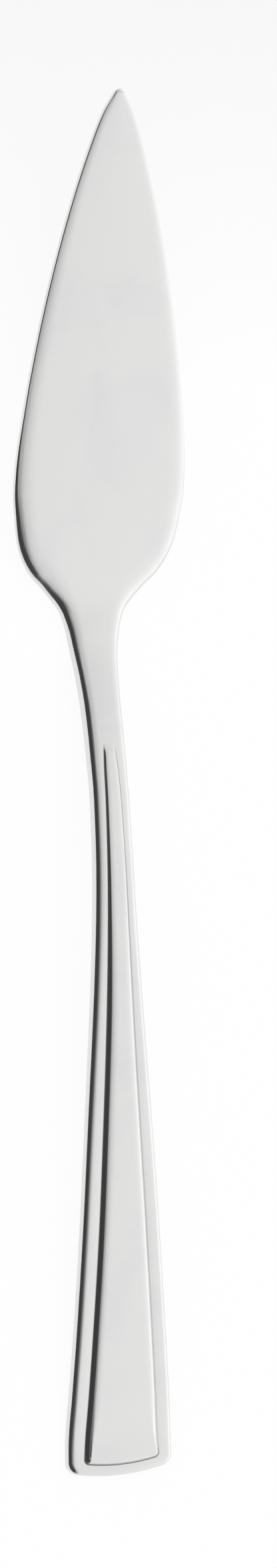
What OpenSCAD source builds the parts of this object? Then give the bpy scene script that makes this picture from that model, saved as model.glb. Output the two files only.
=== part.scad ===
// One-piece stainless steel fish knife, lying on its heel and its handle end, relief side up.
// Stations run along the axis from the handle's end (0) to the blade's tip. Heights are above the table.

/* [Handle] */
// Distance from the handle's end to the narrowest place of the neck
handle_len = 103.4; // [90:0.2:120]
// Width across the handle's end
handle_end_w = 17.6; // [12:0.2:22]
// Thickness of the flat border at the handle's end
handle_end_thick = 1.7; // [1.4:0.1:2.6]
// Radius of the two corners of the handle's end
corner_r = 2; // [1:0.1:4]
// Radius of the shallow arc that closes the handle
end_arc_r = 38; // [20:0.5:80]
// Height of the handle's arch over the table
arch_h = 4.1; // [2:0.1:8]
// Length of the flat that rests on the table under the handle's end
end_flat_len = 4; // [3:0.5:8]

/* [Neck] */
// Distance from the narrowest place of the neck to the widest place of the blade
shoulder_len = 44.1; // [36:0.1:56]
// Width of the neck where it is narrowest
neck_w = 6.1; // [5:0.1:9]
// Thickness of the neck where it is thickest
neck_thick = 2.3; // [2:0.1:3.4]
// Length of the flat that rests on the table under the heel
heel_flat_len = 3.6; // [2.4:0.2:6]

/* [Blade] */
// Distance from the widest place of the blade to its tip
blade_len = 57.3; // [48:0.1:75]
// Width of the blade where it is widest
blade_w = 28.4; // [20:0.2:36]
// Thickness of the blade where it is widest
blade_thick = 1.35; // [1:0.05:1.8]
// Thickness of the blade at its tip
tip_thick = 1.05; // [0.9:0.05:1.5]
// Radius of the blade's tip in plan
tip_r = 0.8; // [0.5:0.1:1.5]
// Height of the tip's underside over the table
tip_rise = 13.8; // [6:0.2:20]

/* [Raised panel] */
// Distance from the narrowest place of the neck to the panel's narrow start
panel_past_neck = 5.6; // [0:0.2:8]
// Width of the panel at its narrow start, at the foot of its wall
panel_start_w = 1.9; // [1.6:0.1:3]
// Border beside the panel at the handle's end
panel_side_border = 2.5; // [1.5:0.1:3.5]
// Border between the panel and the handle's end
panel_end_border = 1.65; // [1:0.05:3]
// Height of the panel over the border
panel_h = 0.65; // [0.2:0.05:0.8]
// Radius of the two corners of the panel's end
panel_corner_r = 0.9; // [0.7:0.1:1.6]
// Radius of the shallow arc that closes the panel
panel_arc_r = 34; // [20:0.5:80]

/* [Edges] */
// Width of the rounding between the upper face and the side wall
edge_run = 0.95; // [0.5:0.05:1.2]
// Height of the crown of the upper face
crown_h = 0.1; // [0.05:0.05:0.3]

/* [Hidden] */

length = handle_len + shoulder_len + blade_len;
widest_at = handle_len + shoulder_len;
panel_len = handle_len + panel_past_neck;
panel_end_w = handle_end_w - 2 * panel_side_border;

// Parts of the thickness that the upper and the lower rounding take; the rest is the side wall
edge_drop_share = 0.4;
lower_edge_share = 0.36;
// Most of the half width that the upper rounding may take
edge_cap_share = 0.8;
// Side angle where the straight side meets the round corner, and where the blade's side meets the tip
side_a = 2;
tip_a = 30;
// Steps along each stretch of the outline, and up each rounding
end_n = 6;
corner_n = 5;
handle_n = 34;
shoulder_n = 32;
blade_n = 18;
tip_n = 5;
upper_n = 5;
lower_n = 2;
// Short length over which the slope of the outline is taken
probe = 0.02;

// Half width along the handle, from the corner (0) to the neck (1): 1 is the end, 0 the neck
handle_side_shares = [[0, 1], [0.04, 0.98], [0.1, 0.91], [0.2, 0.78], [0.5, 0.427],
    [0.7, 0.184], [0.82, 0.07], [0.92, 0.018], [1, 0]];
// Half width along the shoulder, from the neck (0) to the widest place (1)
shoulder_side_shares = [[0, 0], [0.25, 0.008], [0.37, 0.031], [0.48, 0.087], [0.57, 0.187],
    [0.66, 0.49], [0.7, 0.66], [0.76, 0.822], [0.82, 0.91], [0.9, 0.965], [0.97, 0.997], [1, 1]];
// Half width along the blade, from the widest place (0) towards the tip (1)
blade_side_shares = [[0, 1], [0.04, 0.996], [0.2, 0.927], [0.37, 0.818], [0.54, 0.677], [0.72, 0.49],
    [0.89, 0.268], [0.95, 0.168]];
// Underside of the handle's arch between the two flats that rest on the table
arch_shares = [[0.07, 0.2], [0.14, 0.38], [0.31, 0.71], [0.47, 0.87], [0.63, 0.985], [0.7, 1],
    [0.8, 0.9], [0.87, 0.65], [0.92, 0.39], [0.96, 0.16], [0.985, 0.03]];
// Underside of the blade between the heel's flat and the tip
rise_shares = [[0.015, 0.005], [0.04, 0.028], [0.09, 0.1], [0.17, 0.205], [0.285, 0.32]];
// Place of the heel's flat between the neck and the widest place
heel_share = 0.48;
// Thickness between the neck (1) and the blade (0), at shares of the shoulder's length
thin_shares = [[0.28, 1], [0.47, 0.84], [0.63, 0.47], [0.83, 0.11], [1, 0]];
// Thickness between the handle's end (0) and the neck (1), at shares of the handle's length
thick_shares = [[0, 0], [0.44, 0.08], [0.68, 0.33], [1, 0.57]];
// Half width of the panel, from its corner (0) to its start (1): 1 is the end, 0 the start
panel_side_shares = [[0, 1], [0.07, 0.905], [0.3, 0.6], [0.45, 0.43], [0.6, 0.275], [0.75, 0.16],
    [0.88, 0.09], [0.96, 0.05], [1, 0]];
// Height of the panel along its length
panel_height_shares = [[0, 1], [0.62, 1], [0.7, 0.9], [0.8, 0.68], [0.9, 0.52], [0.97, 0.46], [0.99, 0.4], [1, 0]];
// Least width of the panel's wall, and most of the half width that it takes, past the panel's start
wall_least_share = 0.3;
wall_cap_share = 0.4;

// Slope of a table of points at point i: the harmonic mean of its two neighbours, so it never overshoots
function rate(p, i) = (p[i + 1][1] - p[i][1]) / (p[i + 1][0] - p[i][0]);
function slope(p, i) =
    i == 0 ? rate(p, 0) :
    i == len(p) - 1 ? rate(p, i - 1) :
    rate(p, i - 1) * rate(p, i) <= 0 ? 0 :
    2 * rate(p, i - 1) * rate(p, i) / (rate(p, i - 1) + rate(p, i));
// Smooth curve through a table of points
function span(p, t) = max(0, min(len(p) - 2, len([for (q = p) if (q[0] <= t) 1]) - 1));
function curve(p, t) =
    let (i = span(p, t))
    let (h = p[i + 1][0] - p[i][0])
    let (f = max(0, min(1, (t - p[i][0]) / h)))
    p[i][1] * (1 + 2 * f) * (1 - f) * (1 - f) + h * slope(p, i) * f * (1 - f) * (1 - f)
    + p[i + 1][1] * f * f * (3 - 2 * f) - h * slope(p, i + 1) * f * f * (1 - f);

// Corner circle of an end of half width hw, corner radius cr and arc radius ar: its x, its station and the arc's angle
function corner_x(hw, cr) = hw - cr;
function corner_s(hw, cr, ar) = ar - sqrt(pow(ar - cr, 2) - pow(corner_x(hw, cr), 2));
function corner_a(hw, cr, ar) = asin(corner_x(hw, cr) / (ar - cr));
// Closing arc and corner of such an end, from the axis outwards: x, station, normal x, normal along the axis
function end_points(hw, cr, ar) =
    let (a = corner_a(hw, cr, ar))
    concat(
        [for (k = [0 : end_n]) let (t = a * k / end_n)
            [ar * sin(t), ar * (1 - cos(t)), sin(t), -cos(t)]],
        [for (k = [1 : corner_n]) let (t = a - 90 + (90 - a + side_a) * k / corner_n)
            [corner_x(hw, cr) + cr * cos(t), corner_s(hw, cr, ar) + cr * sin(t), cos(t), sin(t)]]);

outer_end = end_points(handle_end_w / 2, corner_r, end_arc_r);
side_start = outer_end[end_n + corner_n];
join_w = tip_r * cos(tip_a);
join_at = length - tip_r * (1 - sin(tip_a));

// Half width of the outline at station s
blade_table = concat([for (q = blade_side_shares) [q[0], q[1] * blade_w / 2]], [[1, join_w]]);
function half_w(s) =
    s < handle_len ?
        neck_w / 2 + (side_start[0] - neck_w / 2)
            * curve(handle_side_shares, (s - side_start[1]) / (handle_len - side_start[1])) :
    s < widest_at ?
        neck_w / 2 + (blade_w - neck_w) / 2 * curve(shoulder_side_shares, (s - handle_len) / shoulder_len) :
    curve(blade_table, (s - widest_at) / (join_at - widest_at));

// Stations of the outline's side, and its points with their normals
stations = concat(
    [for (k = [1 : handle_n]) side_start[1] + (handle_len - side_start[1]) * k / handle_n],
    [for (k = [1 : shoulder_n]) handle_len + shoulder_len * k / shoulder_n],
    [for (k = [1 : blade_n]) widest_at + (join_at - widest_at) * sin(90 * k / blade_n)]);
function side_point(s) =
    let (g = (half_w(s + probe) - half_w(s - probe)) / (2 * probe))
    [half_w(s), s, 1 / sqrt(1 + g * g), -g / sqrt(1 + g * g)];
tip_points = [for (k = [1 : tip_n]) let (t = tip_a + (90 - tip_a) * k / tip_n)
    [tip_r * cos(t), length - tip_r + tip_r * sin(t), cos(t), sin(t)]];
outline = concat(outer_end, [for (s = stations) side_point(s)], tip_points);

// Indexes of the outline: last point of the corner, first point of the tip, and the point on the tip itself
low = end_n + corner_n;
high = low + len(stations);
last = len(outline) - 1;

// Underside's height, thickness of the border and height of the panel at station s
heel_at = handle_len + heel_share * shoulder_len;
heel_stop = heel_at + heel_flat_len;
under_table = concat(
    [[0, 0], [end_flat_len, 0]],
    [for (q = arch_shares) [end_flat_len + q[0] * (heel_at - end_flat_len), q[1] * arch_h]],
    [[heel_at, 0], [heel_stop, 0]],
    [for (q = rise_shares) [heel_stop + q[0] * (length - heel_stop), q[1] * tip_rise]],
    [[length, tip_rise]]);
thick_table = concat(
    [for (q = thick_shares) [q[0] * handle_len, handle_end_thick + q[1] * (neck_thick - handle_end_thick)]],
    [for (q = thin_shares) [handle_len + q[0] * shoulder_len, blade_thick + q[1] * (neck_thick - blade_thick)]],
    [[length, tip_thick]]);
function under(s) = curve(under_table, s);
function thick(s) = curve(thick_table, s);
function raised(s) = s >= panel_len ? 0 : panel_h * curve(panel_height_shares, max(0, s) / panel_len);

// Closing arc and corner of the panel, and the station where its straight side starts
panel_end = end_points(panel_end_w / 2, panel_corner_r, panel_arc_r);
panel_low = panel_end[low][1] + panel_end_border;
// Half width of the panel's foot at station s; past the panel's start it keeps its share of the outline
panel_start_share = panel_start_w / 2 / half_w(panel_len);
function panel_w(s) =
    s >= panel_len ? panel_start_share * half_w(s) :
    panel_start_w / 2 + (panel_end_w - panel_start_w) / 2
        * curve(panel_side_shares, (s - panel_low) / (panel_len - panel_low));

// Outline moved inwards by d, less where the outline is narrow
function room(m) =
    m > high ? tip_r :
    m > low ? outline[m][0] / outline[m][2] :
    handle_end_w / 2;
function inset(m, d) =
    let (q = outline[m])
    let (e = d / pow(1 + pow(d / (edge_cap_share * room(m)), 4), 0.25))
    [m == 0 || m == last ? 0 : q[0] - e * q[2], q[1] - e * q[3]];

// Point of the axis that outline point m looks to
function axis_s(m) = outline[max(low, min(high, m))][1];
// Foot of the panel's wall beside outline point m
function panel_station(s) = panel_low + (s - outline[low][1]) * (length - panel_low) / (length - outline[low][1]);
function foot(m) =
    m <= low ? [panel_end[m][0], panel_end[m][1] + panel_end_border, panel_end[m][2], panel_end[m][3]] :
    m <= high ? let (s = min(panel_station(outline[m][1]), axis_s(high))) [panel_w(s), s, 1, 0] :
    [panel_start_share * outline[m][0],
        axis_s(high) + panel_start_share * (outline[m][1] - axis_s(high)), outline[m][2], outline[m][3]];
// Top edge of the panel's wall, which leans inwards by as much as it rises
function brow(m) =
    let (q = foot(m))
    let (run = min(max(raised(q[1]), wall_least_share * panel_h), wall_cap_share * norm([q[0], q[1] - axis_s(m)])))
    [m == 0 || m == last ? 0 : q[0] - run * q[2], q[1] - run * q[3]];

// Crown of the upper face across the axis
function crown(x, s) = crown_h * (1 - pow(min(1, x / max(half_w(s), join_w)), 2));
function upper_z(x, s, rise) = under(s) + thick(s) + rise + crown(x, s);

// Half rings from the underside's flat up the side wall to the top of the panel: x, station and height
function lower_ring(k) = [for (m = [0 : last])
    let (a = 90 * k / lower_n)
    let (r = lower_edge_share * thick(outline[m][1]))
    let (q = inset(m, r * (1 - sin(a))))
    [q[0], q[1], under(q[1]) + r * (1 - cos(a))]];
function upper_ring(k) = [for (m = [0 : last])
    let (a = 90 * k / upper_n)
    let (q = inset(m, edge_run * (1 - cos(a))))
    [q[0], q[1], upper_z(q[0], q[1], -edge_drop_share * thick(q[1]) * (1 - sin(a)))]];
foot_ring = [for (m = [0 : last]) let (q = foot(m)) [q[0], q[1], upper_z(q[0], q[1], 0)]];
brow_ring = [for (m = [0 : last]) let (q = brow(m)) [q[0], q[1], upper_z(q[0], q[1], raised(q[1]))]];
half_rings = concat(
    [for (k = [0 : lower_n]) lower_ring(k)],
    [for (k = [0 : upper_n]) upper_ring(k)],
    [foot_ring, brow_ring]);

// Whole rings: the half ring and its mirror image, without doubling the two points on the axis
function whole(r) = concat(
    [for (q = r) [q[0], q[1] - length / 2, q[2]]],
    [for (m = [last - 1 : -1 : 1]) [-r[m][0], r[m][1] - length / 2, r[m][2]]]);
around = 2 * last;
ring_count = len(half_rings);
axis_count = high - low + 1;
function axis_index(i) = let (m = i <= last ? i : around - i) max(0, min(axis_count - 1, m - low));
function axis_station(k, top) = top ? brow_ring[low + k][1] : outline[low + k][1];
axis_points = [for (top = [false, true]) for (k = [0 : axis_count - 1])
    let (s = axis_station(k, top))
    [0, s - length / 2, top ? upper_z(0, s, raised(s)) : under(s)]];

// Faces between two rings, and between a ring and the points on the axis
function band(r) = [for (i = [0 : around - 1])
    let (j = (i + 1) % around)
    let (a = r * around + i)
    let (b = r * around + j)
    each [[a, a + around, b + around], [a, b + around, b]]];
function cap(r, first, turn) = [for (i = [0 : around - 1])
    let (j = (i + 1) % around)
    let (a = r * around + i)
    let (b = r * around + j)
    let (p = first + axis_index(i))
    let (q = first + axis_index(j))
    each concat(turn ? [[a, p, b]] : [[a, b, p]], p == q ? [] : turn ? [[b, p, q]] : [[b, q, p]])];

module knife() {
    color("silver") polyhedron(
        points = concat([for (r = half_rings) each whole(r)], axis_points),
        faces = concat(
            [for (r = [0 : ring_count - 2]) each band(r)],
            cap(0, ring_count * around, false),
            cap(ring_count - 1, ring_count * around + axis_count, true)));
}

knife();
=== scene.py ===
# One-piece stainless steel fish knife, resting on a white table on its heel and on its handle's end.
# The knife's sizes are in millimetres. Stations run along its axis from the handle's end to the tip.
import math

import bmesh
import bpy
import numpy as np
from mathutils import Matrix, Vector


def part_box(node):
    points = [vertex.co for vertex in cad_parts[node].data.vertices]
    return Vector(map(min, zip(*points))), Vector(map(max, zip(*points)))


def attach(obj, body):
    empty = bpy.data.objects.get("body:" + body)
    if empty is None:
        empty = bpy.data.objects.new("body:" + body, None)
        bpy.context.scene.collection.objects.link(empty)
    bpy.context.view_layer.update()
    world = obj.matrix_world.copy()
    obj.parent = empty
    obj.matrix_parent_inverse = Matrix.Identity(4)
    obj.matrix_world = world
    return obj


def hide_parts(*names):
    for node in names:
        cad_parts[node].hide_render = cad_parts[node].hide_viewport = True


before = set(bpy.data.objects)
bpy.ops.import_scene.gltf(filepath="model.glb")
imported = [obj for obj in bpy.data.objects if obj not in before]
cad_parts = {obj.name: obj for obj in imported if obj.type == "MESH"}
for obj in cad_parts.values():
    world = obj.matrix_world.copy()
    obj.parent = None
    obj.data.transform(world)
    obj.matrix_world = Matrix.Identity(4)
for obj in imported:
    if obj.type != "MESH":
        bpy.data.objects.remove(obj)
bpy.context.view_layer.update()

# The blank: the knife is stamped whole from stainless steel strip, with a straight tapering handle, two small
# corners at its end, a slim neck and a leaf blade. Nothing is joined on.
MM = 0.001
low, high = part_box("knife")
length = (high.y - low.y) / MM
blade_w = (high.x - low.x) / MM
handle_len = 103.4
shoulder_len = 44.1
widest_at = handle_len + shoulder_len
handle_end_w = 17.6
neck_w = 6.1
corner_r = 2.0
end_arc_r = 38.0
tip_r = 0.8
side_angle = math.radians(2)
tip_angle = math.radians(30)
END_STEPS, CORNER_STEPS, HANDLE_STEPS, SHOULDER_STEPS, BLADE_STEPS, TIP_STEPS = 20, 14, 150, 110, 70, 12

# Half widths between the two sizes at the ends of each stretch, at shares of its length
handle_side_shares = [(0, 1), (0.04, 0.98), (0.1, 0.91), (0.2, 0.78), (0.5, 0.427),
                      (0.7, 0.184), (0.82, 0.07), (0.92, 0.018), (1, 0)]
shoulder_side_shares = [(0, 0), (0.25, 0.008), (0.37, 0.031), (0.48, 0.087), (0.57, 0.187), (0.66, 0.49),
                        (0.7, 0.66), (0.76, 0.822), (0.82, 0.91), (0.9, 0.965), (0.97, 0.997), (1, 1)]
blade_side_shares = [(0, 1), (0.04, 0.996), (0.2, 0.927), (0.37, 0.818), (0.54, 0.677), (0.72, 0.49),
                     (0.89, 0.268), (0.95, 0.168)]


def smooth_curve(table, t):
    """Curve through the points of a table, in cubic pieces. The slope at a point is the harmonic mean of the
    slopes on its two sides, and zero at a peak, so that the curve never swings past its points."""
    x, y = np.array(table, float).T
    rate = np.diff(y) / np.diff(x)
    before, after = rate[:-1], rate[1:]
    same = before * after > 0
    inner = np.where(same, 2 * before * after / np.where(same, before + after, 1), 0)
    slope = np.concatenate([rate[:1], inner, rate[-1:]])
    t = np.clip(t, x[0], x[-1])
    i = np.clip(np.searchsorted(x, t, side="right") - 1, 0, len(x) - 2)
    step = x[i + 1] - x[i]
    f = (t - x[i]) / step
    return (y[i] * (1 + 2 * f) * (1 - f) ** 2 + step * slope[i] * f * (1 - f) ** 2
            + y[i + 1] * f ** 2 * (3 - 2 * f) - step * slope[i + 1] * f ** 2 * (1 - f))


def rounded_end(half_w, corner, arc):
    """Half of an end that a shallow arc closes and a small circle rounds, from the axis outwards. Each point
    has x, its station and the two parts of the outward normal. The circle touches the arc from inside."""
    x = half_w - corner
    turn = math.asin(x / (arc - corner))
    middle = arc - (arc - corner) * math.cos(turn)
    a = np.linspace(0, turn, END_STEPS + 1)
    b = np.linspace(turn - math.pi / 2, side_angle, CORNER_STEPS + 1)[1:]
    return np.concatenate([
        np.stack([arc * np.sin(a), arc * (1 - np.cos(a)), np.sin(a), -np.cos(a)], 1),
        np.stack([x + corner * np.cos(b), middle + corner * np.sin(b), np.cos(b), np.sin(b)], 1)])


outer_end = rounded_end(handle_end_w / 2, corner_r, end_arc_r)
side_x, side_s = outer_end[-1, :2]
tip_joint_x = tip_r * math.cos(tip_angle)
tip_joint_s = length - tip_r * (1 - math.sin(tip_angle))
blade_table = [(q, share * blade_w / 2) for q, share in blade_side_shares] + [(1, tip_joint_x)]


def half_width(s):
    """Half width at station s: the handle's taper, then the shoulder's S, then the leaf's side."""
    handle = neck_w / 2 + (side_x - neck_w / 2) * smooth_curve(
        handle_side_shares, (s - side_s) / (handle_len - side_s))
    shoulder = neck_w / 2 + (blade_w - neck_w) / 2 * smooth_curve(
        shoulder_side_shares, (s - handle_len) / shoulder_len)
    blade = smooth_curve(blade_table, (s - widest_at) / (tip_joint_s - widest_at))
    return np.where(s < handle_len, handle, np.where(s < widest_at, shoulder, blade))


side = np.concatenate([
    np.linspace(side_s, handle_len, HANDLE_STEPS + 1)[1:],
    np.linspace(handle_len, widest_at, SHOULDER_STEPS + 1)[1:],
    widest_at + (tip_joint_s - widest_at) * np.sin(np.linspace(0, math.pi / 2, BLADE_STEPS + 1)[1:])])
probe = 0.02
lean = (half_width(side + probe) - half_width(side - probe)) / (2 * probe)
level = np.sqrt(1 + lean ** 2)
tip_turn = np.linspace(tip_angle, math.pi / 2, TIP_STEPS + 1)[1:]
outline = np.concatenate([
    outer_end,
    np.stack([half_width(side), side, 1 / level, -lean / level], 1),
    np.stack([tip_r * np.cos(tip_turn), length - tip_r * (1 - np.sin(tip_turn)),
              np.cos(tip_turn), np.sin(tip_turn)], 1)])
corner_i = END_STEPS + CORNER_STEPS
tip_i = corner_i + len(side)

# The bend and the rolled thickness: the strip is rolled thinner towards the blade, and the finished blank is
# bent in a press, so that the handle arches over the table and the blade rises from the heel to its tip.
handle_end_thick = 1.7
neck_thick = 2.3
blade_thick = 1.35
tip_thick = 1.05
arch_h = 4.1
tip_rise = 13.8
end_flat_len = 4.0
heel_flat_len = 3.6
heel_share = 0.48
arch_shares = [(0.07, 0.2), (0.14, 0.38), (0.31, 0.71), (0.47, 0.87), (0.63, 0.985), (0.7, 1),
               (0.8, 0.9), (0.87, 0.65), (0.92, 0.39), (0.96, 0.16), (0.985, 0.03)]
rise_shares = [(0.015, 0.005), (0.04, 0.028), (0.09, 0.1), (0.17, 0.205), (0.285, 0.32)]
thick_shares = [(0, 0), (0.44, 0.08), (0.68, 0.33), (1, 0.57)]
thin_shares = [(0.28, 1), (0.47, 0.84), (0.63, 0.47), (0.83, 0.11), (1, 0)]
heel_at = handle_len + heel_share * shoulder_len
heel_stop = heel_at + heel_flat_len
under_table = (
    [(0, 0), (end_flat_len, 0)]
    + [(end_flat_len + q * (heel_at - end_flat_len), share * arch_h) for q, share in arch_shares]
    + [(heel_at, 0), (heel_stop, 0)]
    + [(heel_stop + q * (length - heel_stop), share * tip_rise) for q, share in rise_shares]
    + [(length, tip_rise)])
thick_table = (
    [(q * handle_len, handle_end_thick + share * (neck_thick - handle_end_thick))
     for q, share in thick_shares]
    + [(handle_len + q * shoulder_len, blade_thick + share * (neck_thick - blade_thick))
       for q, share in thin_shares]
    + [(length, tip_thick)])
crown_h = 0.1


def under(s):
    """Height of the underside over the table at station s."""
    return smooth_curve(under_table, s)


def thick(s):
    """Thickness of the steel at station s."""
    return smooth_curve(thick_table, s)


def top(x, s):
    """Height of the upper face: underside, thickness and a slight crown, a parabola across the knife."""
    across = np.minimum(1, np.abs(x) / np.maximum(half_width(s), tip_joint_x))
    return under(s) + thick(s) + crown_h * (1 - across ** 2)


# The coined panel: a die presses a long tapering panel up out of the steel handle, with a plain border round
# it. Its wall leans back at about 45 degrees and stands in a fine groove, and both fade out on the neck.
panel_past_neck = 5.6
panel_len = handle_len + panel_past_neck
panel_side_border = 2.5
panel_end_border = 1.65
panel_end_w = handle_end_w - 2 * panel_side_border
panel_start_w = 1.9
panel_h = 0.65
groove_h = 0.07
panel_corner_r = 0.9
panel_arc_r = 34.0
wall_angle = math.radians(46)
wall_foot_r = 0.08
wall_brow_r = 0.55
wall_least_share = 0.3
wall_cap_share = 0.4
roll_angle = math.radians(17)
panel_roll = 1.3
panel_end_roll = 0.1
panel_roll_len = 8.0
panel_side_shares = [(0, 1), (0.07, 0.905), (0.3, 0.6), (0.45, 0.43), (0.6, 0.275), (0.75, 0.16),
                     (0.88, 0.09), (0.96, 0.05), (1, 0)]
panel_height_shares = [(0, 1), (0.62, 1), (0.7, 0.9), (0.8, 0.68), (0.9, 0.52), (0.97, 0.46), (0.99, 0.4),
                       (1, 0)]
groove_shares = [(0, 0.4), (0.12, 1), (0.3, 1), (0.6, 0.4), (1, 0.15)]
dull_and_shade_shares = [(0, 1), (0.02, 1), (0.04, 0.55), (0.3, 0.6), (0.65, 0.75), (0.85, 1), (1, 1)]
dull_and_shade_gain = 3
FOOT_STEPS, BROW_STEPS, ROLL_STEPS = 4, 8, 10

panel_end = rounded_end(panel_end_w / 2, panel_corner_r, panel_arc_r)
panel_end[:, 1] += panel_end_border
panel_low = panel_end[-1, 1]
panel_start_share = panel_start_w / 2 / float(half_width(panel_len))


def panel_half_width(s):
    """Half width of the panel's foot. Past the panel's start it stays the same share of the outline's."""
    panel = panel_start_w / 2 + (panel_end_w - panel_start_w) / 2 * smooth_curve(
        panel_side_shares, (s - panel_low) / (panel_len - panel_low))
    return np.where(s < panel_len, panel, panel_start_share * half_width(s))


def panel_height(s):
    """Height of the panel over its border, which fades out at the neck."""
    return np.where(s < panel_len, panel_h * smooth_curve(panel_height_shares, s / panel_len), 0)


def roll_height(run):
    """Rise of a face that leaves the roll angle and comes level over this run, as a cubic."""
    return run * math.tan(roll_angle) / 3


def wall_profile():
    """Run and rise of the panel's wall from its foot in the groove: a small hollow arc, a straight slope and
    a round brow. The brow ends at the roll angle, where the buffed face takes over."""
    hollow = np.linspace(0, wall_angle, FOOT_STEPS + 1)
    brow = np.linspace(wall_angle, roll_angle, BROW_STEPS + 1)
    rise = panel_h + groove_h - roll_height(panel_roll)
    slope = (rise - wall_foot_r * (1 - math.cos(wall_angle))
             - wall_brow_r * (math.cos(roll_angle) - math.cos(wall_angle))) / math.sin(wall_angle)
    x, z = wall_foot_r * np.sin(hollow), wall_foot_r * (1 - np.cos(hollow))
    brow_x = x[-1] + slope * math.cos(wall_angle) + wall_brow_r * (math.sin(wall_angle) - np.sin(brow))
    brow_z = z[-1] + slope * math.sin(wall_angle) + wall_brow_r * (np.cos(brow) - math.cos(wall_angle))
    return np.concatenate([x, brow_x]), np.concatenate([z, brow_z])


panel_side_s = np.minimum(
    panel_low + (side - side_s) * (length - panel_low) / (length - side_s), side[-1])
foot_tip_x = panel_start_share * outline[tip_i + 1:, 0]
foot_tip_s = side[-1] + panel_start_share * (outline[tip_i + 1:, 1] - side[-1])
foot = np.concatenate([
    panel_end,
    np.stack([panel_half_width(panel_side_s), panel_side_s, np.ones_like(side), np.zeros_like(side)], 1),
    np.stack([foot_tip_x, foot_tip_s, outline[tip_i + 1:, 2], outline[tip_i + 1:, 3]], 1)])

# The edges and the skin: the steel's rim is ground to a flat wall with rounded corners, and the knife is
# buffed all over. The skin is a stack of closed rings, each following the outline, from the axis below, round
# the edge and up to the axis above.

# At shares of the length: the upper corner's radius over the thickness, and the width of the rolled face
edge_r_shares = [(0, 0.56), (0.16, 0.6), (0.34, 0.6), (0.5, 0.52), (0.6, 0.55), (0.65, 0.88), (0.68, 0.8),
                 (0.72, 0.5), (0.78, 0.22), (1, 0.24)]
edge_rolls = [(0, 0.6), (0.35, 0.6), (0.5, 1.1), (0.6, 2.3), (0.66, 3.2), (0.72, 3.2), (0.78, 2.7),
              (0.88, 1.9), (1, 0.8)]
roll_room_share = 0.7
edge_angle = math.radians(70)
arris_share = 0.1
lower_edge_share = 0.2
edge_cap_share = 0.8
merge_gap = 0.0002
UNDER_STEPS, LOWER_STEPS, WALL_STEPS, ARRIS_STEPS = 6, 6, 3, 3
UPPER_STEPS, BORDER_STEPS, PANEL_STEPS = 14, 8, 10

axis_s = np.clip(outline[:, 1], side_s, side[-1])
room = np.full(len(outline), handle_end_w / 2)
room[corner_i + 1:tip_i + 1] = outline[corner_i + 1:tip_i + 1, 0] / outline[corner_i + 1:tip_i + 1, 2]
room[tip_i + 1:] = tip_r


def inset(d):
    """The outline moved inwards by d along its normals, by less where the knife is too narrow for it."""
    e = d / (1 + (d / (edge_cap_share * room)) ** 4) ** 0.25
    x = outline[:, 0] - e * outline[:, 2]
    x[[0, -1]] = 0
    return x, outline[:, 1] - e * outline[:, 3]


def between(start, end, steps):
    """Plan points on the straight lines from one ring to the next, without the two rings themselves."""
    return [(start[0] + f * (end[0] - start[0]), start[1] + f * (end[1] - start[1]))
            for f in np.linspace(0, 1, steps + 1)[1:-1]]


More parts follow.
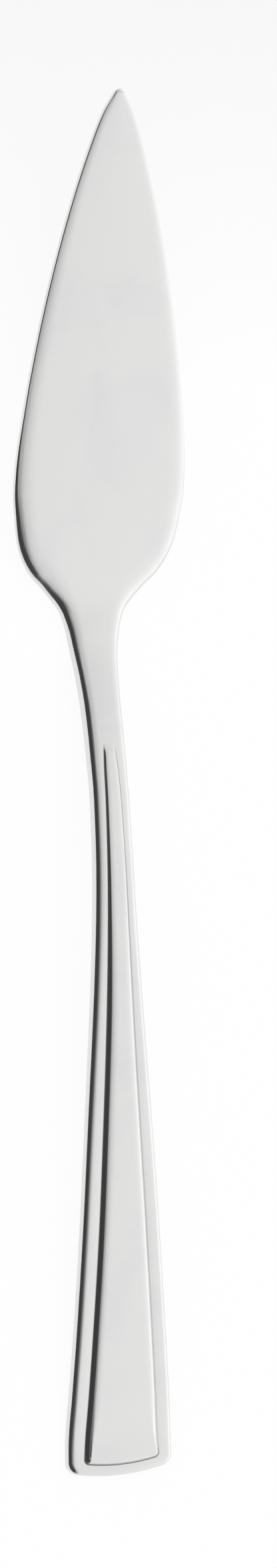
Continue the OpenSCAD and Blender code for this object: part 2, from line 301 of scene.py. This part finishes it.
def knife_rings():
    """All half rings, and how dull and how darkened each point is; the darkening is painted shade in the
    groove.
    The rings are the flat underside, the lower corner, the wall, a small arris, the upper corner as an arc
    that turns from the edge angle to the roll angle, the rolled face until it is level, the border falling to
    the groove, the panel's wall, its rolled face and its top."""
    rings = []
    count = len(outline)
    lower_r = lower_edge_share * thick(outline[:, 1])
    axis = (np.zeros(count), axis_s)
    rings += [(x, s, under(s)) for x, s in [axis] + between(axis, inset(lower_r), UNDER_STEPS)]
    for a in np.linspace(0, math.pi / 2, LOWER_STEPS + 1):
        x, s = inset(lower_r * (1 - math.sin(a)))
        rings.append((x, s, under(s) + lower_r * (1 - math.cos(a))))
    x, s = inset(0)
    arris_r, edge_r = arris_share * thick(s), smooth_curve(edge_r_shares, s / length) * thick(s)
    arc_run = arris_r * (1 - math.sin(edge_angle)) + edge_r * (math.sin(edge_angle) - math.sin(roll_angle))
    roll = smooth_curve(edge_rolls, s / length)
    reach = np.minimum(1, edge_cap_share * room / (arc_run + roll))
    arris_r, edge_r, arc_run = reach * arris_r, reach * edge_r, reach * arc_run
    arc_x, arc_s = inset(arc_run)
    roll = np.minimum(reach * roll, roll_room_share * np.hypot(arc_x - foot[:, 0], arc_s - foot[:, 1]))
    arc_top = roll_height(roll)
    drop = arc_top + edge_r * (math.cos(roll_angle) - math.cos(edge_angle)) + arris_r * math.cos(edge_angle)
    wall_low = under(s) + lower_r
    wall_high = top(x, s) - drop
    rings += [(x, s, wall_low + f * (wall_high - wall_low)) for f in np.linspace(0, 1, WALL_STEPS + 1)[1:-1]]
    for a in np.linspace(math.pi / 2, edge_angle, ARRIS_STEPS + 1)[:-1]:
        x, s = inset(arris_r * (1 - math.sin(a)))
        rings.append((x, s, top(x, s) - drop + arris_r * math.cos(a)))
    for a in np.linspace(edge_angle, roll_angle, UPPER_STEPS + 1):
        x, s = inset(arris_r * (1 - math.sin(edge_angle)) + edge_r * (math.sin(edge_angle) - math.sin(a)))
        rings.append((x, s, top(x, s) - arc_top - edge_r * (math.cos(roll_angle) - math.cos(a))))
    for f in np.linspace(0, 1, ROLL_STEPS + 1)[1:]:
        x, s = inset(arc_run + f * roll)
        rings.append((x, s, top(x, s) - arc_top * (1 - f) ** 3))

    sunk = panel_height(foot[:, 1]) / panel_h
    groove = groove_h * sunk * smooth_curve(groove_shares, foot[:, 1] / panel_len)
    border = between((x, s), foot.T[:2], BORDER_STEPS)
    for f, (x, s) in zip(np.linspace(0, 1, BORDER_STEPS + 1)[1:-1], border):
        rings.append((x, s, top(x, s) - groove * f ** 2))
    foot_i = len(rings)
    run, rise = wall_profile()
    rise_all = rise[-1] + roll_height(panel_roll)
    room_inside = np.hypot(foot[:, 0], foot[:, 1] - axis_s)
    room_inside[:corner_i + 1] = panel_end_w / 2
    scale = np.minimum(np.maximum(sunk, wall_least_share), wall_cap_share * room_inside / run[-1])
    grown = np.clip((foot[:, 1] - panel_low) / panel_roll_len, 0, 1)
    inner_roll = np.minimum(panel_end_roll + (panel_roll - panel_end_roll) * grown,
                            edge_cap_share * (room_inside - scale * run[-1]))
    plan = [(scale * wall_run, wall_rise) for wall_run, wall_rise in zip(run, rise)]
    plan += [(scale * run[-1] + f * inner_roll, rise[-1] + roll_height(panel_roll) * (1 - (1 - f) ** 3))
             for f in np.linspace(0, 1, ROLL_STEPS + 1)[1:]]
    for d, height in plan:
        x = foot[:, 0] - d * foot[:, 2]
        s = foot[:, 1] - d * foot[:, 3]
        x[[0, -1]] = 0
        rings.append((x, s, top(x, s) - groove + (panel_height(s) + groove) * height / rise_all))
    crest = (np.zeros(count), np.clip(s, s[:corner_i + 1].max() + panel_corner_r, s[tip_i]))
    rings += [(x, s, top(x, s) + panel_height(s)) for x, s in between((x, s), crest, PANEL_STEPS) + [crest]]
    # Painted shade: the hollow at the panel's wall foot is marked here, and the material darkens it as well
    # as making it rougher.
    dull_and_painted_shade = np.zeros((len(rings), count))
    groove_painted_shade = np.minimum(1, dull_and_shade_gain * sunk) * smooth_curve(dull_and_shade_shares, foot[:, 1] / panel_len)
    dull_and_painted_shade[foot_i:foot_i + FOOT_STEPS + 1] = groove_painted_shade
    return np.array(rings), dull_and_painted_shade


def closed_skin(name, rings, dull_and_painted_shade):
    """Mesh of the half rings and their mirror images. Four neighbouring points make a face, and the points
    that fall together on the axis are merged, which closes the skin below and above. The point attribute
    that it stores is 1 where the groove is dullest and darkest; the darkness is painted shade."""
    mirrored = rings[:, :, -2:0:-1] * np.array([-1, 1, 1])[None, :, None]
    points = np.concatenate([rings, mirrored], 2).transpose(0, 2, 1)
    count, around = points.shape[:2]
    ids = np.arange(count * around).reshape(count, around)
    lower, upper = ids[:-1], ids[1:]
    faces = np.stack([lower, np.roll(lower, -1, 1), np.roll(upper, -1, 1), upper], -1).reshape(-1, 4)
    points = points.reshape(-1, 3) - np.array([0, length / 2, 0])
    mesh = bpy.data.meshes.new(name)
    mesh.from_pydata((points * MM).tolist(), [], faces.tolist())
    dull_and_painted_shade = np.concatenate([dull_and_painted_shade, dull_and_painted_shade[:, -2:0:-1]], 1)
    mesh.attributes.new("dull_and_painted_shade", "FLOAT", "POINT").data.foreach_set("value", dull_and_painted_shade.ravel())
    shell = bmesh.new()
    shell.from_mesh(mesh)
    bmesh.ops.remove_doubles(shell, verts=shell.verts, dist=merge_gap * MM)
    shell.to_mesh(mesh)
    shell.free()
    mesh.shade_smooth()
    piece = bpy.data.objects.new(name, mesh)
    bpy.context.scene.collection.objects.link(piece)
    return piece


def to_linear(code):
    """The linear colour of an sRGB hex code, with alpha 1."""
    c = np.array([int(code[i:i + 2], 16) for i in (1, 3, 5)]) / 255
    return (*np.where(c <= 0.04045, c / 12.92, ((c + 0.055) / 1.055) ** 2.4), 1)


def add_node(tree, kind, links=None, **settings):
    """Adds one node. Settings are inputs by name, or properties of the node where it has no such input."""
    node = tree.nodes.new(kind)
    for key, value in settings.items():
        if key in node.inputs:
            node.inputs[key].default_value = value
        else:
            setattr(node, key, value)
    for key, socket in (links or {}).items():
        tree.links.new(socket, node.inputs[key])
    return node


def buffed_steel():
    """Stainless steel, ground and then buffed to a bright satin polish: a clear soft mirror, fine polishing
    lines along the knife, faint smudges from handling, and a rougher groove whose colour is darkened as
    painted shade. The lines are drawn about ten times coarser than real ones, so that a picture can hold
    them."""
    line_gap, line_len, line_h = 0.3 * MM, 5.0 * MM, 0.004 * MM
    smudge_size = 11.0 * MM
    material = bpy.data.materials.new("buffed_stainless_steel")
    material.use_nodes = True
    tree = material.node_tree
    shader = tree.nodes["Principled BSDF"]
    on_knife = add_node(tree, "ShaderNodeTexCoord")
    stretched = add_node(tree, "ShaderNodeMapping", {"Vector": on_knife.outputs["Object"]},
                         Scale=(1 / line_gap, 1 / line_len, 1 / line_gap))
    lines = add_node(tree, "ShaderNodeTexNoise", {"Vector": stretched.outputs[0]}, Scale=1, Detail=3)
    bump = add_node(tree, "ShaderNodeBump", {"Height": lines.outputs["Fac"]}, Distance=line_h, Strength=1)
    smudge = add_node(tree, "ShaderNodeTexNoise", {"Vector": on_knife.outputs["Object"]},
                      Scale=1 / smudge_size, Detail=4, Distortion=0.8)
    patches = add_node(tree, "ShaderNodeMapRange", {"Value": smudge.outputs["Fac"]},
                       **{"From Min": 0.45, "From Max": 0.75, "To Min": 0, "To Max": 1})
    touched = add_node(tree, "ShaderNodeMixRGB", {"Fac": patches.outputs[0]},
                       Color1=to_linear("#E6E6E5"), Color2=to_linear("#E1E2E2"))
    # Painted shade: where the groove is marked, the colour is mixed towards dark grey, and the roughness is
    # raised.
    groove = add_node(tree, "ShaderNodeAttribute", attribute_name="dull_and_painted_shade")
    dull_and_shade_weight = add_node(tree, "ShaderNodeMath", {0: groove.outputs["Fac"]}, operation="MULTIPLY")
    dull_and_shade_weight.inputs[1].default_value = 0.7
    colour = add_node(tree, "ShaderNodeMixRGB", {"Fac": dull_and_shade_weight.outputs[0], "Color1": touched.outputs[0]},
                      Color2=to_linear("#858584"))
    rough = add_node(tree, "ShaderNodeMapRange", {"Value": patches.outputs[0]},
                     **{"To Min": 0.15, "To Max": 0.2})
    rougher = add_node(tree, "ShaderNodeMath", {0: dull_and_shade_weight.outputs[0], 1: rough.outputs[0]},
                       operation="MAXIMUM")
    shader.inputs["Metallic"].default_value = 1
    tree.links.new(colour.outputs[0], shader.inputs["Base Color"])
    tree.links.new(rougher.outputs[0], shader.inputs["Roughness"])
    tree.links.new(bump.outputs[0], shader.inputs["Normal"])
    return material


knife = closed_skin("fish_knife", *knife_rings())
knife.data.materials.append(buffed_steel())
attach(knife, "root")
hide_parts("knife")

# The table: a plain white laminate top, which the knife touches at its heel and its handle's end. It mostly
# glows an even white to the camera, as a table lit from all sides does, so that the knife's shadow stays
# faint. Beside the tip its glow is turned slightly down, a painted shade.
table_size = 12.0
table_glow_share = 0.92
far_from, far_to, far_end, far_painted_shade = 0.06, 0.125, 0.5, 0.075
side_at = table_size / 2
table_mesh = bpy.data.meshes.new("table")
table_corners = [(-side_at, -side_at, low.z), (side_at, -side_at, low.z),
                 (side_at, side_at, low.z), (-side_at, side_at, low.z)]
table_mesh.from_pydata(table_corners, [], [(0, 1, 2, 3)])
table = bpy.data.objects.new("table", table_mesh)
bpy.context.scene.collection.objects.link(table)
table_paint = bpy.data.materials.new("white_laminate")
table_paint.use_nodes = True
tree = table_paint.node_tree
laminate = tree.nodes["Principled BSDF"]
laminate.inputs["Base Color"].default_value = to_linear("#FAFAFA")
laminate.inputs["Roughness"].default_value = 0.6
ray = add_node(tree, "ShaderNodeLightPath")
mirrored_ray = add_node(tree, "ShaderNodeMath", {
    0: ray.outputs["Is Glossy Ray"], 1: ray.outputs["Is Transmission Ray"]}, operation="MAXIMUM")
seen = add_node(tree, "ShaderNodeMath", {
    0: ray.outputs["Is Camera Ray"], 1: mirrored_ray.outputs[0]}, operation="MAXIMUM")
glow_share = add_node(tree, "ShaderNodeMath", {0: seen.outputs[0]}, operation="MULTIPLY")
glow_share.inputs[1].default_value = table_glow_share
on_table = add_node(tree, "ShaderNodeTexCoord")
along = add_node(tree, "ShaderNodeSeparateXYZ", {"Vector": on_table.outputs["Object"]})
# Painted shade: beside the tip the table's glow is turned down a little and comes back further on.
darker = add_node(tree, "ShaderNodeMapRange", {"Value": along.outputs["Y"]},
                  **{"From Min": far_from, "From Max": far_to, "To Min": 0, "To Max": far_painted_shade})
lighter = add_node(tree, "ShaderNodeMapRange", {"Value": along.outputs["Y"]},
                   **{"From Min": far_to, "From Max": far_end, "To Min": 1, "To Max": 0})
painted_shade_loss = add_node(tree, "ShaderNodeMath", {0: darker.outputs[0], 1: lighter.outputs[0]}, operation="MULTIPLY")
brightness = add_node(tree, "ShaderNodeMath", {1: painted_shade_loss.outputs[0]}, operation="SUBTRACT")
brightness.inputs[0].default_value = 1
white = add_node(tree, "ShaderNodeEmission", {"Strength": brightness.outputs[0]}, Color=(1, 1, 1, 1))
mixed = add_node(tree, "ShaderNodeMixShader",
                 {"Fac": glow_share.outputs[0], 1: laminate.outputs[0], 2: white.outputs[0]})
tree.links.new(mixed.outputs[0], tree.nodes["Material Output"].inputs["Surface"])
table_mesh.materials.append(table_paint)

# The studio: an even white room. A light tent stands over the knife, bright at its right and dark at its
# left, as polished cutlery gets so that its edges read against a white table. Only reflections see the tent.
world = bpy.data.worlds.new("white_room")
bpy.context.scene.world = world
world.use_nodes = True
world.node_tree.nodes["Background"].inputs["Color"].default_value = (1, 1, 1, 1)
world.node_tree.nodes["Background"].inputs["Strength"].default_value = 1.0
world.cycles.sampling_method = "NONE"

tent_r = 1.5
TENT_AROUND, TENT_UP = 120, 46
tent_bright_at = math.radians(-12)
tent_dark = 0.9
tent_dark_from, tent_dark_to = math.radians(150), math.radians(258)
tent_dark_fade = math.radians(27)

# Brightness by degrees away from the bright side, and darkness of the dark cloth by degrees over the table
tent_glow = [(0, 1.27), (20, 1.25), (30, 1.17), (42, 1.03), (52, 0.985), (60, 0.95), (66, 0.9), (75, 0.8),
             (90, 0.66), (120, 0.58), (180, 0.55)]
tent_shade = [(0, 1), (45, 1), (60, 0.8), (75, 0.36), (90, 0)]


def tent_light(around, up):
    """Brightness of the tent's cloth. It grows towards the right, and the dark cloth at the left takes it
    away from the table up to about halfway, fading towards the top and at both sides."""
    away = np.degrees(np.arccos(np.clip(np.cos(up) * np.cos(around - tent_bright_at), -1, 1)))
    middle, half = (tent_dark_from + tent_dark_to) / 2, (tent_dark_to - tent_dark_from) / 2
    off = np.abs((around - middle + math.pi) % (2 * math.pi) - math.pi)
    sector = np.clip((half + tent_dark_fade - off) / tent_dark_fade, 0, 1)
    sector = sector * sector * (3 - 2 * sector)
    return smooth_curve(tent_glow, away) * (1 - tent_dark * sector * smooth_curve(tent_shade, np.degrees(up)))


tent_around, tent_up = np.meshgrid(np.linspace(0, 2 * math.pi, TENT_AROUND, endpoint=False),
                                   np.linspace(0, math.pi / 2, TENT_UP), indexing="ij")
tent_points = tent_r * np.stack([
    np.cos(tent_up) * np.cos(tent_around), np.cos(tent_up) * np.sin(tent_around), np.sin(tent_up)], -1)
ids = np.arange(TENT_AROUND * TENT_UP).reshape(TENT_AROUND, TENT_UP)
following = np.roll(ids, -1, 0)
tent_mesh = bpy.data.meshes.new("light_tent")
tent_mesh.from_pydata(tent_points.reshape(-1, 3).tolist(), [], np.stack(
    [ids[:, :-1], ids[:, 1:], following[:, 1:], following[:, :-1]], -1).reshape(-1, 4).tolist())
tent_mesh.attributes.new("light", "FLOAT", "POINT").data.foreach_set(
    "value", tent_light(tent_around, tent_up).ravel())
tent = bpy.data.objects.new("light_tent", tent_mesh)
bpy.context.scene.collection.objects.link(tent)
tent_cloth = bpy.data.materials.new("tent_cloth")
tent_cloth.use_nodes = True
tree = tent_cloth.node_tree
tree.nodes.clear()
light = add_node(tree, "ShaderNodeAttribute", attribute_name="light")
glow = add_node(tree, "ShaderNodeEmission", {"Strength": light.outputs["Fac"]}, Color=(1, 1, 1, 1))
add_node(tree, "ShaderNodeOutputMaterial", {"Surface": glow.outputs["Emission"]})
tent_cloth.cycles.emission_sampling = "NONE"
tent_mesh.materials.append(tent_cloth)
tent.visible_camera = False
tent.visible_diffuse = False
tent.visible_shadow = False

# The camera: a long lens looks down at the knife from its left, 28 degrees off the upright. It is turned a
# little and its lens is shifted, so that the knife lies in the picture as it does in the photograph.
camera_lean = math.radians(28)
camera_distance = 0.740
camera_ahead = 0.0214
camera_turn = math.radians(-1.825)
target = np.array([0, 0.0001, 0.005])

# The picture's size, the focal length and the target's place in it are in the photograph's pixels
photo_w, photo_h = 416, 2353
focal_px = 7504
target_px = (166.45, 1184.57)
sensor = 36.0
camera_at = target + [-camera_distance * math.sin(camera_lean), camera_ahead,
                      camera_distance * math.cos(camera_lean)]
view_ahead = (target - camera_at) / np.linalg.norm(target - camera_at)
level_right = np.cross(view_ahead, [0, 1, 0])
level_right /= np.linalg.norm(level_right)
level_up = np.cross(level_right, view_ahead)
view_right = level_right * math.cos(camera_turn) + level_up * math.sin(camera_turn)
view_up = level_up * math.cos(camera_turn) - level_right * math.sin(camera_turn)
lens = bpy.data.cameras.new("camera")
lens.sensor_width = sensor
lens.lens = focal_px * sensor / photo_h
lens.shift_x = (photo_w / 2 - target_px[0]) / photo_h
lens.shift_y = (target_px[1] - photo_h / 2) / photo_h
lens.clip_start = 0.01
camera = bpy.data.objects.new("camera", lens)
bpy.context.scene.collection.objects.link(camera)
placing = np.eye(4)
placing[:3] = np.stack([view_right, view_up, -view_ahead, camera_at], 1)
camera.matrix_world = Matrix(placing.tolist())
bpy.context.scene.camera = camera

bpy.context.scene.view_settings.view_transform = "Standard"
